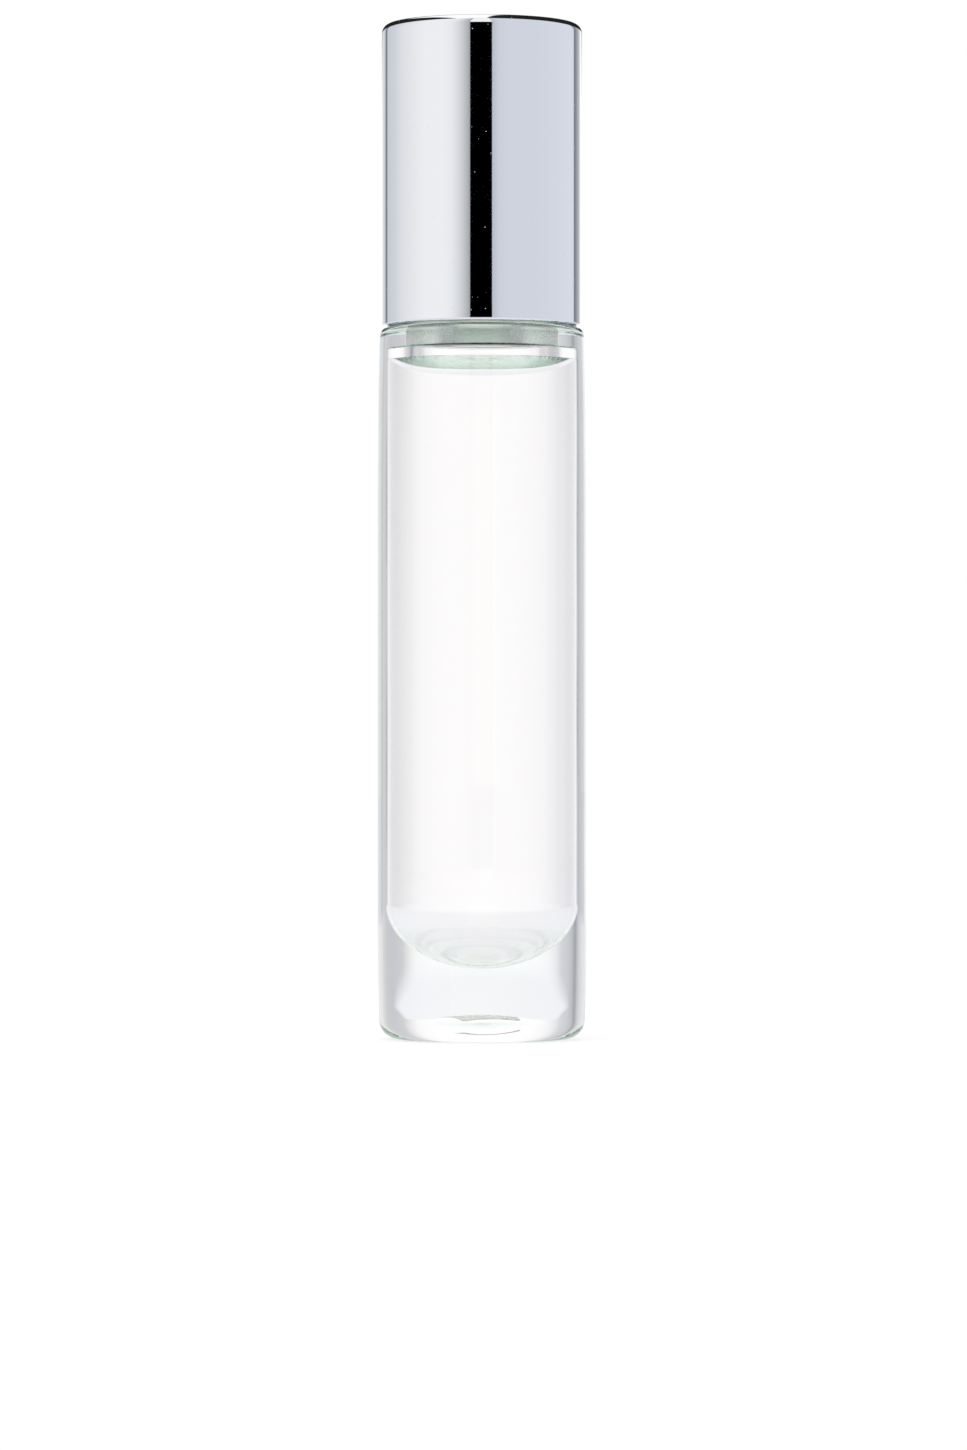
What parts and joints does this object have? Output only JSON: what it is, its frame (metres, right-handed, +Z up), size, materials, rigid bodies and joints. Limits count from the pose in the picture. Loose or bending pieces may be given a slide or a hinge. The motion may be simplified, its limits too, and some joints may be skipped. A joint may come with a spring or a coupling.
{
  "type": "roll-on perfume oil bottle",
  "caption": "Slim roll-on perfume oil bottle: thick clear glass vial with a round-bottomed chamber, steel roller ball in a plastic housing, and a polished metal screw cap.",
  "frame": {"origin": "centre of the foot, at the height of the surface that the bottle stands on", "axes": "+Z up along the bottle's axis, towards the cap's top; -Y faces the picture's camera"},
  "size_m": [0.0206, 0.0206, 0.1],
  "materials": {
    "clear_glass": "clear flint glass with a faint green cast in its thick parts",
    "perfume_oil": "clear, nearly colourless oil",
    "clear_film": "thin clear film, unprinted",
    "natural_polyethylene": "translucent natural polyethylene, moulded",
    "ball_steel": "polished stainless steel",
    "soft_seal": "soft matt foam",
    "white_polypropylene": "white moulded polypropylene",
    "mirror_metal": "mirror polished and anodised"
  },
  "bodies": {
    "bottle": {"glass_bottle": "clear_glass", "perfume_oil": "perfume_oil", "base_sticker": "clear_film", "roller_housing": "natural_polyethylene"},
    "ball": {"roller_ball": "ball_steel"},
    "seal": {"seal_disc": "soft_seal"},
    "cap": {"inner_cap": "white_polypropylene", "cap_shell": "mirror_metal"}
  },
  "joints": [
    {"name": "ball_roll", "type": "hinge", "parent": "bottle", "child": "ball", "pos_m": [0, 0, 0.0857], "axis": [1, 0, 0], "continuous": true},
    {"name": "cap_rise", "type": "slide", "parent": "bottle", "child": "seal", "axis": [0, 0, 1], "range_m": [0, 0.021]},
    {"name": "cap_turn", "type": "hinge", "parent": "seal", "child": "cap", "pos_m": [0, 0, 0.0703], "axis": [0, 0, 1], "range_deg": [0, 2520]}
  ],
  "couplings": [
    {"joint": "cap_rise", "follows": "cap_turn", "m_per_rad": 0.00047746}
  ]
}
